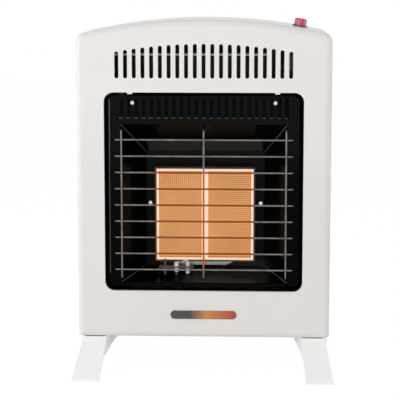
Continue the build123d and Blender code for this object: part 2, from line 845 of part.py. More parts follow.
# Bracket that hangs the valve from the right rail
bracket_grip = 12.0
bracket_foot = 2.0
bracket_drop = 8.0
bracket_tail = 24.0
with BuildPart() as valve_bracket:
    valve_side = valve_width / 2 + bracket_sheet / 2
    upper = knob_plane.from_local_coords(Vector(valve_side, 0, -valve_top - bracket_grip))
    lower = knob_plane.from_local_coords(Vector(valve_side, 0, -valve_top - valve_length + bracket_foot))
    with BuildSketch(facing_plane(-valve_width / 2)):
        with BuildLine():
            Polyline(
                (upper.X, upper.Z),
                (lower.X, lower.Z),
                (rail_inner - bracket_sheet / 2, rail_high - bracket_drop),
                (rail_inner - bracket_sheet / 2, rail_high - bracket_drop - bracket_tail),
            )
        trace(line_width=bracket_sheet)
    extrude(amount=-valve_width)
save(valve_bracket, "valve_bracket")


def bent_tube(points, bends, radius, bore):
    """Tube along straight runs joined by bends, with an optional bore."""
    with BuildPart() as tube:
        with BuildLine() as route:
            FilletPolyline(*points, radius=bends)
        with BuildSketch(Plane(origin=route.line @ 0, z_dir=route.line % 0)):
            Circle(radius)
            if bore:
                Circle(bore, mode=Mode.SUBTRACT)
        sweep()
    return tube


# Tubes and leads from the valve, each in its own lane behind the burner
port_run = 12.0
supply_drop = 42.0
inlet_drop = 60.0
lead_drop = 70.0
tube_wall = 1.0
lane_pitch = 8.0
lane_rise = 16.0
lane_inset = 24.0
supply_clearance = 11.0
socket_end = -valve_top - valve_length + port_depth
straight_end = -valve_top - valve_length - port_run
lane_y = plenum_back + lane_pitch
lane_level = rail_low + lane_rise
lane_x = knob_offset - lane_inset


def valve_port(x, y, depth):
    """Point on the axis of a port in the underside of the valve."""
    return knob_plane.from_local_coords(Vector(x, y, depth))


supply_x = rail_inner - supply_clearance
supply_bend = 10.0
inlet_bend = 14.0
burner_supply_tube = bent_tube(
    (
        valve_port(outlet_offset, 0, socket_end),
        valve_port(outlet_offset, 0, straight_end),
        (supply_x, mixer_y, rail_high - supply_drop),
        (supply_x, mixer_y, mixer_level),
        (injector_start + injector_length - injector_socket, mixer_y, mixer_level),
    ),
    (supply_bend,) * 3,
    supply_radius - running_fit,
    supply_radius - tube_wall,
)
save(burner_supply_tube, "burner_supply_tube")

inlet_rise = 36.0
inlet_socket = 8.0
inlet_top = stand_height + inlet_rise
inlet_tube = bent_tube(
    (
        valve_port(0, outlet_offset, socket_end),
        valve_port(0, outlet_offset, straight_end),
        (inlet_offset, inlet_back, rail_high - inlet_drop),
        (inlet_offset, inlet_back, inlet_top - inlet_socket),
    ),
    (supply_bend, inlet_bend),
    supply_radius - running_fit,
    supply_radius - tube_wall,
)
save(inlet_tube, "inlet_tube")

lead_bend = 8.0
pilot_shank = 6.0
thermocouple_shank = 8.0
electrode_shank = 9.0
leads = (
    ("pilot_tube", pilot_x, pilot_tube_radius, -outlet_offset, pilot_plate - pilot_shank),
    ("thermocouple_lead", pilot_x - pilot_spacing, lead_radius, 0, pilot_plate - thermocouple_shank),
    ("ignition_lead", pilot_x + pilot_spacing, lead_radius, outlet_offset, pilot_plate - electrode_shank),
)
for lane, (name, foot_x, radius, port_y, foot_top) in enumerate(leads):
    run_x = lane_x - lane * lane_pitch
    run_y = lane_y + lane * lane_pitch
    run_z = lane_level - lane * lane_pitch
    lead = bent_tube(
        (
            valve_port(-outlet_offset, port_y, socket_end),
            valve_port(-outlet_offset, port_y, straight_end),
            (run_x, run_y, rail_high - lead_drop),
            (run_x, run_y, run_z),
            (foot_x, run_y, run_z),
            (foot_x, pilot_y, run_z),
            (foot_x, pilot_y, foot_top),
        ),
        (lead_bend,) * 5,
        radius - running_fit,
        0,
    )
    save(lead, name)

# Inlet fitting: brass, clamped through the bottom panel
inlet_neck = 16.0
inlet_nut = inlet_radius + 5.0
with BuildPart() as gas_inlet_fitting:
    tray_top = stand_height + cover_sheet + panel_sheet
    tray_under = stand_height + cover_sheet
    with BuildSketch(Plane.XY.offset(inlet_tip)):
        with Locations((inlet_offset, inlet_back)):
            Circle(inlet_radius)
    extrude(amount=inlet_top - inlet_tip - inlet_neck)
    chamfer(gas_inlet_fitting.faces().sort_by(Axis.Z)[0].edges(), 1.5)
    with BuildSketch(Plane.XY.offset(tray_under)):
        with Locations((inlet_offset, inlet_back)):
            RegularPolygon(inlet_nut, 6)
    extrude(amount=-7.0)
    with BuildSketch(Plane.XY.offset(tray_top)):
        with Locations((inlet_offset, inlet_back)):
            RegularPolygon(inlet_nut, 6)
    extrude(amount=6.0)
    with BuildSketch(Plane.XY.offset(inlet_top - inlet_neck)):
        with Locations((inlet_offset, inlet_back)):
            Circle(supply_radius + 3 * tube_wall)
    extrude(amount=inlet_neck)
    with BuildSketch(Plane.XY.offset(inlet_top - inlet_socket)):
        with Locations((inlet_offset, inlet_back)):
            Circle(supply_radius)
    extrude(amount=inlet_socket, mode=Mode.SUBTRACT)
    with BuildSketch(Plane.XY.offset(inlet_tip)):
        with Locations((inlet_offset, inlet_back)):
            Circle(supply_radius - tube_wall)
    extrude(amount=inlet_top - inlet_socket - inlet_tip, mode=Mode.SUBTRACT)
save(gas_inlet_fitting, "gas_inlet_fitting")

# Pilot bracket: ledge on the crossmember under the plaques
pilot_plate_half = pilot_spacing + 2 * pilot_radius
pilot_ledge = 8.0
pilot_web_gap = 2.0
with BuildPart() as pilot_bracket:
    with BuildSketch(side_plane(pilot_x - pilot_plate_half)):
        with BuildLine():
            Polyline(
                (throat_y, tile_base - pilot_web_gap),
                (throat_y, pilot_plate),
                (pilot_y - pilot_ledge, pilot_plate),
                (pilot_y - pilot_ledge, pilot_plate + pilot_plate_sheet),
                (throat_y - pilot_plate_sheet, pilot_plate + pilot_plate_sheet),
                (throat_y - pilot_plate_sheet, tile_base - pilot_web_gap),
                close=True,
            )
        make_face()
    extrude(amount=2 * pilot_plate_half)
    with BuildSketch(Plane.XY.offset(pilot_plate)):
        with Locations((pilot_x, pilot_y)):
            Circle(pilot_radius)
        with Locations((pilot_x - pilot_spacing, pilot_y), (pilot_x + pilot_spacing, pilot_y)):
            Circle(pilot_sleeve)
    extrude(amount=pilot_plate_sheet, mode=Mode.SUBTRACT)
save(pilot_bracket, "pilot_bracket")

# Pilot burner: nozzle with a hood that throws the flame at the plaques
with BuildPart() as pilot_burner:
    with BuildSketch(Plane.XY.offset(pilot_plate - pilot_shank)):
        with Locations((pilot_x, pilot_y)):
            Circle(pilot_radius)
    extrude(amount=13.0)
    with BuildSketch(Plane.XY.offset(pilot_plate + pilot_plate_sheet)):
        with Locations((pilot_x, pilot_y)):
            RegularPolygon(pilot_radius + 1.4, 6)
    extrude(amount=2.5)
    with BuildSketch(Plane.XY.offset(pilot_plate + 5.0)):
        with Locations((pilot_x, pilot_y + pilot_radius)):
            Rectangle(2 * pilot_radius, pilot_radius)
    extrude(amount=3.0, mode=Mode.SUBTRACT)
save(pilot_burner, "pilot_burner")

# Ignition electrode: ceramic sleeve with a wire tip bent towards the pilot
with BuildPart() as ignition_electrode:
    electrode_x = pilot_x + pilot_spacing
    with BuildSketch(Plane.XY.offset(pilot_plate - electrode_shank)):
        with Locations((electrode_x, pilot_y)):
            Circle(pilot_sleeve)
    extrude(amount=16.0)
    with BuildLine() as tip_route:
        FilletPolyline(
            (electrode_x, pilot_y, pilot_plate + 7.0),
            (electrode_x, pilot_y, pilot_plate + 10.0),
            (electrode_x - 8.0, pilot_y, pilot_plate + 8.0),
            radius=1.2,
        )
    with BuildSketch(Plane(origin=tip_route.line @ 0, z_dir=tip_route.line % 0)):
        Circle(0.7)
    sweep()
save(ignition_electrode, "ignition_electrode")

# Thermocouple: round tip in a clip nut
with BuildPart() as thermocouple:
    with BuildSketch(Plane.XY.offset(pilot_plate - thermocouple_shank)):
        with Locations((pilot_x - pilot_spacing, pilot_y)):
            Circle(pilot_sleeve)
    extrude(amount=12.0)
    with BuildSketch(Plane.XY.offset(pilot_plate + 4.0)):
        with Locations((pilot_x - pilot_spacing, pilot_y)):
            Circle(lead_radius + 0.4)
    extrude(amount=8.0)
    fillet(thermocouple.faces().sort_by(Axis.Z)[-1].edges(), 1.2)
save(thermocouple, "thermocouple")

# Wire guard: nine cross wires and three uprights welded in front of them
wire_y = surround_y - wire_stand
upright_y = wire_y - 2 * wire_radius + weld_sink
wire_tail = surround_back + wire_tail_length
funnel_slope_top = (mouth_base + mouth_height - throat_base - throat_height) / reflector_depth
funnel_slope_side = (mouth_width - throat_width) / 2 / reflector_depth
tail_low = surround_back + (upright_bottom - mouth_base) / (throat_rise / reflector_depth)
tail_high = surround_back + (mouth_base + mouth_height - upright_top) / funnel_slope_top
tail_side = surround_back + (mouth_width - upright_spread) / 2 / funnel_slope_side
with BuildPart() as wire_guard:
    for row in range(wire_rows):
        level = mouth_base + wire_rise + row * wire_pitch
        with BuildLine() as wire_route:
            FilletPolyline(
                (-wire_span / 2, wire_tail, level),
                (-wire_span / 2, wire_y, level),
                (wire_span / 2, wire_y, level),
                (wire_span / 2, wire_tail, level),
                radius=wire_bend,
            )
        with BuildSketch(Plane(origin=wire_route.line @ 0, z_dir=wire_route.line % 0)):
            Circle(wire_radius)
        sweep()
    for x, low_tail, high_tail in (
        (-upright_spread / 2, tail_side, tail_side),
        (0, tail_low, tail_high),
        (upright_spread / 2, tail_side, tail_side),
    ):
        with BuildLine() as upright_route:
            FilletPolyline(
                (x, low_tail + upright_tail_length, upright_bottom),
                (x, upright_y, upright_bottom),
                (x, upright_y, upright_top),
                (x, high_tail + upright_tail_length, upright_top),
                radius=wire_bend,
            )
        with BuildSketch(Plane(origin=upright_route.line @ 0, z_dir=upright_route.line % 0)):
            Circle(wire_radius)
        sweep()
save(wire_guard, "wire_guard")


def foot_section(level, top_share, skin):
    """Plan of a foot at one level, between its floor outline and its top outline."""
    inner = foot_inner_low + (foot_inner_top - foot_inner_low) * top_share + skin
    outer = foot_outer_low + (foot_outer_top - foot_outer_low) * top_share - skin
    share = (level - foot_lip_low) / (stand_height - foot_lip_top - foot_lip_low)
    reach = foot_reach + (foot_top_half - foot_reach) * min(max(share, 0.0), 1.0) - skin
    with BuildSketch(Plane.XY.offset(level)) as section:
        with BuildLine():
            Polyline(
                (inner, -reach),
                (outer, -reach),
                (outer, reach),
                (inner, reach),
                (inner - foot_waist, foot_waist_half),
                (inner - foot_waist, -foot_waist_half),
                close=True,
            )
        make_face()
    return section.sketch


# Feet: bridges of bent sheet, open below, with flanged sides
with BuildPart() as right_foot:
    lip_levels = (0.0, foot_lip_low, stand_height - foot_lip_top, stand_height)
    loft([foot_section(z, z / stand_height, 0) for z in lip_levels], ruled=True)
    hollow_levels = (0.0, foot_lip_low, stand_height - foot_lip_top, stand_height - foot_sheet)
    loft(
        [foot_section(z, z / stand_height, foot_sheet) for z in hollow_levels],
        ruled=True,
        mode=Mode.SUBTRACT,
    )
    # Arched cut through both sides that leaves a narrow edge down each leg
    with BuildSketch(side_plane(0)):
        with BuildLine():
            slope = (foot_reach - foot_top_half) / (stand_height - foot_lip_top - foot_lip_low)
            knee = foot_reach - foot_edge - slope * (foot_flange_low - foot_lip_low)
            low_end = foot_reach - foot_edge
            Polyline(
                (-low_end, 0),
                (-low_end, foot_lip_low),
                (-knee, foot_flange_low),
                (-foot_waist_half, foot_arch),
                (foot_waist_half, foot_arch),
                (knee, foot_flange_low),
                (low_end, foot_lip_low),
                (low_end, 0),
                close=True,
            )
        make_face()
    extrude(amount=body_width, mode=Mode.SUBTRACT)
    with BuildSketch(Plane.XY.offset(stand_height)):
        with Locations((foot_screw_offset, -foot_screw_half), (foot_screw_offset, foot_screw_half)):
            Circle(screw_radius)
    extrude(amount=-foot_sheet, mode=Mode.SUBTRACT)
save(right_foot, "right_foot")

with BuildPart() as left_foot:
    mirror(right_foot.part, about=Plane.YZ)
save(left_foot, "left_foot")

# Plain pill-shaped plate where a badge goes
with BuildPart() as badge_plate:
    with BuildSketch(facing_plane(front_y)):
        with Locations((0, stand_height + badge_rise)):
            SlotOverall(badge_length, badge_height)
    extrude(amount=badge_thickness)
    fillet(badge_plate.faces().sort_by(Axis.Y)[0].edges(), 0.4)
save(badge_plate, "badge_plate")


def screw_set(name, planes, head, shank, length, dome):
    """Domed screws, one on each plane, heads above it and shanks below."""
    with BuildPart() as screws:
        for plane in planes:
            with BuildSketch(plane):
                Circle(head)
            extrude(amount=dome)
            crown = screws.edges(Select.LAST).sort_by(Axis(plane.origin, plane.z_dir))[-1]
            fillet(crown, dome * 0.6)
            with BuildSketch(plane):
                Circle(shank)
            extrude(amount=-length)
    save(screws, name)


foot_screw_planes = [
    Plane(origin=(x, y, stand_height - foot_sheet), z_dir=(0, 0, -1))
    for x in (-foot_screw_offset, foot_screw_offset)
    for y in (-foot_screw_half, foot_screw_half)
]
screw_set("foot_screws", foot_screw_planes, screw_head, screw_radius - screw_hole_gap, 10.0, screw_head_height)
cover_screw_planes = [
    Plane(origin=(side * body_width / 2, back_y - cover_screw_inset, level), z_dir=(side, 0, 0))
    for side in (-1, 1)
    for level in cover_screw_levels
]
screw_set("cover_screws", cover_screw_planes, screw_head, screw_radius - screw_hole_gap, 8.0, screw_head_height)
surround_screw_planes = [
    Plane(origin=(x, surround_y, surround_screw_z), z_dir=(0, -1, 0))
    for x in (-surround_screw_x, surround_screw_x)
]
screw_set(
    "surround_screws",
    surround_screw_planes,
    small_screw_head,
    small_screw_radius - screw_hole_gap,
    6.0,
    1.8,
)
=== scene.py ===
# %% [markdown]
# # An infrared gas heater, dressed for the camera
# The heater is a white steel cabinet with an arched top. Behind its window sit a black enamelled
# reflector, two glowing ceramic plaques and a wire guard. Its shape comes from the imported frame, so
# this lesson spends its effort on finishes and on the small forms that a camera picks out: the holes
# of the plaques, the recesses of the screws, the welds of the guard and the seams of the reflector.

# %% Load the frame
import json
import math

import bmesh
import bpy
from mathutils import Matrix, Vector


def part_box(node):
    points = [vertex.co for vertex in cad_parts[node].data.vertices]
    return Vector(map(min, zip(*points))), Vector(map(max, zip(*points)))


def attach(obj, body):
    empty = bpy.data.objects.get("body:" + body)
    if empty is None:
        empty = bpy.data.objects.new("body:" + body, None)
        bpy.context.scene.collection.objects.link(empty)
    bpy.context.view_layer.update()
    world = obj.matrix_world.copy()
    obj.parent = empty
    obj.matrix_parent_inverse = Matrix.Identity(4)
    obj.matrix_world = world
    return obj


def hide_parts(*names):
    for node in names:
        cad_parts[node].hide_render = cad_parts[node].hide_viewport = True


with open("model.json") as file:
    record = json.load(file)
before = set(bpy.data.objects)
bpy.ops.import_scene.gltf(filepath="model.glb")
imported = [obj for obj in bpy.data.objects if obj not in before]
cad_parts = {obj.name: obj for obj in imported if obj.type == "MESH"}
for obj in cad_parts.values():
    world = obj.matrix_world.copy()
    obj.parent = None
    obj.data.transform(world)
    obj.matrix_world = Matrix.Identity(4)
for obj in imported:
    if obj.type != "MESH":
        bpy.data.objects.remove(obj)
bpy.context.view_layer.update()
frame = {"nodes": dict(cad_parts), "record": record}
nodes = frame["nodes"]

# %% [markdown]
# ## Camera
# The photograph was taken a little to the right of the heater and a little above it. A camera close by
# with a short lens would spread the upright edges, and in the photograph they stay nearly parallel. So
# the camera stands two metres away with a long lens. Its place and lens were fitted to the plaques, the
# window and the cabinet.

# %% Camera
camera_place = Vector((0.0824, -2.0829, 0.5474))
camera_target = Vector((-0.0048, -0.085, 0.2485))
camera_lens = 132.06
bpy.ops.object.camera_add(location=camera_place)
camera = bpy.context.object
camera.data.lens = camera_lens
camera.data.sensor_width = 36.0
camera.data.clip_end = 30.0
camera.rotation_euler = (camera_target - camera_place).to_track_quat("-Z", "Y").to_euler()
bpy.context.scene.camera = camera
print("camera", round((camera_target - camera_place).length, 3), "m from its target")

# %% [markdown]
# ## Studio
# A white product sweep is a pale floor with a white backdrop. Lights strong enough to whiten both would
# burn out the cabinet. So the world and the floor are white only for the rays that look at them, and
# the lamps stay at a plain level. Three small helpers join the nodes, because the world, the floor and
# several finishes need the same steps.

# %% Node helpers


def combine(tree, operation, first, second, clamp=False):
    """Math node on two outputs, or on an output and a number."""
    node = tree.nodes.new("ShaderNodeMath")
    node.operation = operation
    node.use_clamp = clamp
    tree.links.new(first, node.inputs[0])
    if isinstance(second, float):
        node.inputs[1].default_value = second
    else:
        tree.links.new(second, node.inputs[1])
    return node.outputs["Value"]


def blend_shaders(tree, share, first, second):
    """Mix of two shaders: the first where the share is 0, the second where it is 1."""
    mixer = tree.nodes.new("ShaderNodeMixShader")
    tree.links.new(share, mixer.inputs["Fac"])
    tree.links.new(first, mixer.inputs[1])
    tree.links.new(second, mixer.inputs[2])
    return mixer.outputs["Shader"]


def backdrop_rays(tree):
    """Output that is 1 for rays from the camera, from mirrors and through glass."""
    paths = tree.nodes.new("ShaderNodeLightPath")
    seen = combine(tree, "MAXIMUM", paths.outputs["Is Camera Ray"], paths.outputs["Is Glossy Ray"])
    return combine(tree, "MAXIMUM", seen, paths.outputs["Is Transmission Ray"])


# %% World
scene = bpy.context.scene
scene.view_settings.view_transform = "Standard"
world = bpy.data.worlds.new("studio")
scene.world = world
world.use_nodes = True
fill_level = 0.36
tree = world.node_tree
tree.nodes.clear()
output = tree.nodes.new("ShaderNodeOutputWorld")
white = tree.nodes.new("ShaderNodeBackground")
white.inputs["Color"].default_value = (1, 1, 1, 1)
fill = tree.nodes.new("ShaderNodeBackground")
fill.inputs["Color"].default_value = (1, 1, 1, 1)
fill.inputs["Strength"].default_value = fill_level
sky = blend_shaders(tree, backdrop_rays(tree), fill.outputs["Background"], white.outputs["Background"])
tree.links.new(sky, output.inputs["Surface"])

# %% [markdown]
# The lamps are large squares, because a large lamp gives the soft shadow edges of a product studio. The
# key lamp is on the left, the front lamp lights the funnel, and two side lamps draw the rolled edges.

# %% Lamps
heater_middle = Vector((0, 0, 0.26))


def soft_lamp(name, place, size, power):
    """Square lamp that looks at the middle of the heater."""
    bpy.ops.object.light_add(type="AREA", location=place)
    lamp = bpy.context.object
    lamp.name = name
    lamp.data.size = size
    lamp.data.energy = power
    aim = heater_middle - Vector(place)
    lamp.rotation_euler = aim.to_track_quat("-Z", "Y").to_euler()


# Name, place and width in metres, power in watts
lamps = (
    ("key_lamp", (-1.4, -1.8, 0.8), 0.8, 14),
    ("front_lamp", (0.1, -2.6, 0.2), 1.4, 14),
    ("top_lamp", (0.1, -0.4, 1.9), 1.2, 4),
    ("right_lamp", (2.0, -0.4, 0.45), 0.9, 7),
    ("left_lamp", (-2.0, -0.3, 0.4), 0.9, 9),
)
for lamp in lamps:
    soft_lamp(*lamp)
print("lamps", len(lamps))

# %% [markdown]
# ## Shared surface effects
# Real coatings are never quite even: powder coat has a fine grain, and enamel and drawn metal have slow
# clouds in their colour. Each material could carry its own noise nodes, but a node group is built once
# and used by every finish with its own values.

# %% Group helpers


def new_group(name, inputs, outputs):
    """Empty shader node group with named inputs and outputs."""
    group = bpy.data.node_groups.new(name, "ShaderNodeTree")
    for label, kind, value in inputs:
        socket = group.interface.new_socket(name=label, in_out="INPUT", socket_type=kind)
        socket.default_value = value
    for label, kind in outputs:
        group.interface.new_socket(name=label, in_out="OUTPUT", socket_type=kind)
    start = group.nodes.new("NodeGroupInput")
    end = group.nodes.new("NodeGroupOutput")
    return group, start, end


def noise_texture(tree, scale, detail):
    """Noise on Object coordinates, in metres."""
    coordinates = tree.nodes.new("ShaderNodeTexCoord")
    noise = tree.nodes.new("ShaderNodeTexNoise")
    noise.inputs["Scale"].default_value = scale
    noise.inputs["Detail"].default_value = detail
    tree.links.new(coordinates.outputs["Object"], noise.inputs["Vector"])
    return noise


# %% Grain group
grain_scale, grain_height, cloud_scale = 900.0, 0.00003, 7.0
grain_group, start, end = new_group(
    "surface_grain",
    (
        ("Scale", "NodeSocketFloat", grain_scale),
        ("Height", "NodeSocketFloat", grain_height),
        ("Cloud Scale", "NodeSocketFloat", cloud_scale),
    ),
    (("Normal", "NodeSocketVector"), ("Cloud", "NodeSocketFloat")),
)
grain = noise_texture(grain_group, grain_scale, detail=2.0)
grain_group.links.new(start.outputs["Scale"], grain.inputs["Scale"])
cloud = noise_texture(grain_group, cloud_scale, detail=3.0)
grain_group.links.new(start.outputs["Cloud Scale"], cloud.inputs["Scale"])
bump = grain_group.nodes.new("ShaderNodeBump")
bump.inputs["Strength"].default_value = 1.0
grain_group.links.new(start.outputs["Height"], bump.inputs["Distance"])
grain_group.links.new(grain.outputs["Fac"], bump.inputs["Height"])
grain_group.links.new(bump.outputs["Normal"], end.inputs["Normal"])
grain_group.links.new(cloud.outputs["Fac"], end.inputs["Cloud"])

# %% [markdown]
# Heat tint and painted light change a finish only in some places: the guard is brown where it crosses
# the plaques, and painted shade darkens the sheets inside the cabinet. Painting that by hand would need
# a texture. Here a second group turns a box in the object's own space into a mask with soft sides, so
# one finish can change inside such a box and stay as it is outside.

# %% Box mask group
box_mask, start, end = new_group(
    "box_mask",
    (
        ("Centre", "NodeSocketVector", (0, 0, 0)),
        ("Half Size", "NodeSocketVector", (1, 1, 1)),
        ("Softness", "NodeSocketFloat", 0.001),
    ),
    (("Mask", "NodeSocketFloat"),),
)
coordinates = box_mask.nodes.new("ShaderNodeTexCoord")
offset = box_mask.nodes.new("ShaderNodeVectorMath")
offset.operation = "SUBTRACT"
spread = box_mask.nodes.new("ShaderNodeVectorMath")
spread.operation = "ABSOLUTE"
beyond = box_mask.nodes.new("ShaderNodeVectorMath")
beyond.operation = "SUBTRACT"
split = box_mask.nodes.new("ShaderNodeSeparateXYZ")
box_mask.links.new(coordinates.outputs["Object"], offset.inputs[0])
box_mask.links.new(start.outputs["Centre"], offset.inputs[1])
box_mask.links.new(offset.outputs["Vector"], spread.inputs[0])
box_mask.links.new(spread.outputs["Vector"], beyond.inputs[0])
box_mask.links.new(start.outputs["Half Size"], beyond.inputs[1])
box_mask.links.new(beyond.outputs["Vector"], split.inputs["Vector"])
inside = None
for axis in "XYZ":
    fade = box_mask.nodes.new("ShaderNodeMapRange")
    fade.interpolation_type = "SMOOTHSTEP"
    fade.inputs["From Min"].default_value = 0
    fade.inputs["To Min"].default_value = 1
    fade.inputs["To Max"].default_value = 0
    box_mask.links.new(split.outputs[axis], fade.inputs["Value"])
    box_mask.links.new(start.outputs["Softness"], fade.inputs["From Max"])
    if inside is None:
        inside = fade.outputs["Result"]
    else:
        inside = combine(box_mask, "MULTIPLY", inside, fade.outputs["Result"])
box_mask.links.new(inside, end.inputs["Mask"])

# %% [markdown]
# ## One recipe for plain finishes
# Most pieces differ only in colour, gloss, metal and grain. A separate node tree for each would repeat
# the same nodes, so one function builds them. The Principled BSDF takes its colour from a ramp over the
# slow cloud of the grain group, so no finish is one flat colour.

# %% Finish helper


def two_tones(tree, cloud, dark, light, dark_end, light_end):
    """Colour that follows a cloud from a dark tone to a light one."""
    ramp = tree.nodes.new("ShaderNodeValToRGB")
    ramp.color_ramp.elements[0].position = dark_end
    ramp.color_ramp.elements[0].color = (*dark, 1)
    ramp.color_ramp.elements[1].position = light_end
    ramp.color_ramp.elements[1].color = (*light, 1)
    tree.links.new(cloud, ramp.inputs["Fac"])
    return ramp.outputs["Color"]


def finish(
    name,
    dark,
    light,
    roughness,
    metal=0.0,
    grain=grain_scale,
    height=grain_height,
    clouds=cloud_scale,
    coat=0.0,
    specular=0.5,
):
    """Principled finish whose colour and gloss drift between two tones."""
    material = bpy.data.materials.new(name)
    material.use_nodes = True
    tree = material.node_tree
    shader = tree.nodes["Principled BSDF"]
    effect = tree.nodes.new("ShaderNodeGroup")
    effect.node_tree = grain_group
    effect.inputs["Scale"].default_value = grain
    effect.inputs["Height"].default_value = height
    effect.inputs["Cloud Scale"].default_value = clouds
    colour = two_tones(tree, effect.outputs["Cloud"], dark, light, 0.3, 0.7)
    gloss = tree.nodes.new("ShaderNodeMapRange")
    gloss.inputs["To Min"].default_value = roughness * 0.9
    gloss.inputs["To Max"].default_value = roughness * 1.1
    tree.links.new(effect.outputs["Cloud"], gloss.inputs["Value"])
    tree.links.new(colour, shader.inputs["Base Color"])
    tree.links.new(gloss.outputs["Result"], shader.inputs["Roughness"])
    tree.links.new(effect.outputs["Normal"], shader.inputs["Normal"])
    shader.inputs["Metallic"].default_value = metal
    shader.inputs["Specular IOR Level"].default_value = specular
    shader.inputs["Coat Weight"].default_value = coat
    shader.inputs["Coat Roughness"].default_value = 0.08
    return material


# %% [markdown]
# ## Finishes of the heater
# The cabinet and feet are powder coated in a warm off-white, and the feet get a lighter copy of it as
# painted light for the light their sloping fronts catch. The surround and funnel are black enamel, the
# guard is dull drawn wire, and the knob is glossy red plastic. Each gets two close tones, one for the
# dark and one for the light side of its clouds.

# %% Painted finishes
white_enamel = finish("white_enamel", (0.79, 0.755, 0.73), (0.82, 0.79, 0.765), 0.38, coat=0.2)
# Lighter copy of the white enamel for the feet: painted light on their sloping fronts
lit_foot_enamel = finish("lit_foot_enamel", (0.95, 0.94, 0.925), (0.97, 0.96, 0.95), 0.4, coat=0.1)
black_enamel = finish(
    "black_enamel", (0.0006, 0.0005, 0.0004), (0.002, 0.0017, 0.0014), 0.15, grain=160.0, specular=0.03
)
funnel_enamel = finish(
    "funnel_enamel",
    (0.001, 0.0009, 0.0008),
    (0.003, 0.0028, 0.0024),
    0.22,
    grain=90.0,
    height=0.00006,
    specular=0.04,
)
white_screw = finish("white_screw", (0.82, 0.82, 0.8), (0.9, 0.9, 0.88), 0.3, clouds=120.0)
red_plastic = finish("red_plastic", (0.56, 0.018, 0.06), (0.68, 0.03, 0.085), 0.24, coat=0.5)
collar_plastic = finish("collar_plastic", (0.02, 0.004, 0.007), (0.035, 0.008, 0.012), 0.3, coat=0.3)

# %% Bare metals
zinc_sheet = finish("zinc_sheet", (0.42, 0.43, 0.44), (0.6, 0.61, 0.62), 0.42, metal=0.85, clouds=60.0)
# Darker copy of the zinc for the sheets and brackets inside the cabinet: painted shade
shaded_inner_zinc = finish("shaded_inner_zinc", (0.05, 0.048, 0.045), (0.11, 0.105, 0.1), 0.5, metal=0.5, clouds=50.0)
back_zinc = finish("back_zinc", (0.5, 0.51, 0.52), (0.58, 0.59, 0.6), 0.42, metal=0.6, clouds=60.0)
# Darker copy of the zinc for the heat baffle: painted shade
shaded_baffle_zinc = finish(
    "shaded_baffle_zinc", (0.025, 0.024, 0.023), (0.06, 0.058, 0.055), 0.5, metal=0.3, clouds=50.0
)
guard_wire = finish("guard_wire", (0.11, 0.107, 0.1), (0.2, 0.195, 0.185), 0.34, metal=0.65, clouds=90.0)
screw_steel = finish("screw_steel", (0.5, 0.5, 0.5), (0.65, 0.65, 0.65), 0.28, metal=0.9, clouds=90.0)
frame_steel = finish("frame_steel", (0.01, 0.008, 0.007), (0.03, 0.024, 0.02), 0.5, metal=0.3, clouds=50.0)
tube_aluminium = finish("tube_aluminium", (0.05, 0.05, 0.05), (0.1, 0.1, 0.1), 0.45, metal=0.6, clouds=40.0)
brass = finish("brass", (0.62, 0.42, 0.16), (0.78, 0.58, 0.28), 0.28, metal=1.0, clouds=60.0)
copper_lead = finish("copper_lead", (0.12, 0.06, 0.035), (0.2, 0.11, 0.07), 0.4, metal=0.8, clouds=60.0)

# %% Fibre, ceramic and sleeves
fibre_gasket = finish(
    "fibre_gasket", (0.6, 0.57, 0.52), (0.75, 0.72, 0.68), 0.9, height=0.0002, grain=700.0
)
electrode_ceramic = finish("electrode_ceramic", (0.78, 0.76, 0.72), (0.88, 0.86, 0.82), 0.25, clouds=150.0)
lead_sleeve = finish("lead_sleeve", (0.02, 0.02, 0.02), (0.04, 0.04, 0.04), 0.6, clouds=60.0)

# %% [markdown]
# ## Heat tint, painted glow, painted reflection and painted shade
# The guard browns over the plaques, and a painted glow on it stands for the plaques' light, reddest on
# its middle wire. A painted grey reflection lies on the enamel above and below the plaques. Painted shade
# darkens the back of the cabinet and the inner walls of the cover, so the slots read as black, and a
# painted highlight keeps only the hem of the baffle bright. One finish per zone would leave hard
# borders, so the box mask lets each finish change softly at the sides of a zone.

# %% Zone helpers


def place_mask(tree, zone):
    """Puts the box mask of a zone (centre, half size, softness) into a material."""
    mask = tree.nodes.new("ShaderNodeGroup")
    mask.node_tree = box_mask
    for label, value in zip(("Centre", "Half Size", "Softness"), zone):
        mask.inputs[label].default_value = value
    return mask.outputs["Mask"]


def recolour(material, socket, colour, zone):
    """Changes one colour socket of a finish to another colour inside a zone."""
    tree = material.node_tree
    shader = tree.nodes["Principled BSDF"]
    mixer = tree.nodes.new("ShaderNodeMix")
    mixer.data_type = "RGBA"
    before = shader.inputs[socket].links
    if before:
        tree.links.new(before[0].from_socket, mixer.inputs["A"])
    else:
        mixer.inputs["A"].default_value = (0, 0, 0, 1)
    mixer.inputs["B"].default_value = (*colour, 1)
    tree.links.new(place_mask(tree, zone), mixer.inputs["Factor"])
    tree.links.new(mixer.outputs["Result"], shader.inputs[socket])
    if socket == "Emission Color":
        shader.inputs["Emission Strength"].default_value = 1.0


def coat_inside(material, zones):
    """Lays a clear glossy coat on a finish inside some zones, and none outside them."""
    tree = material.node_tree
    total = place_mask(tree, zones[0])
    for zone in zones[1:]:
        total = combine(tree, "MAXIMUM", total, place_mask(tree, zone))
    tree.links.new(total, tree.nodes["Principled BSDF"].inputs["Coat Weight"])
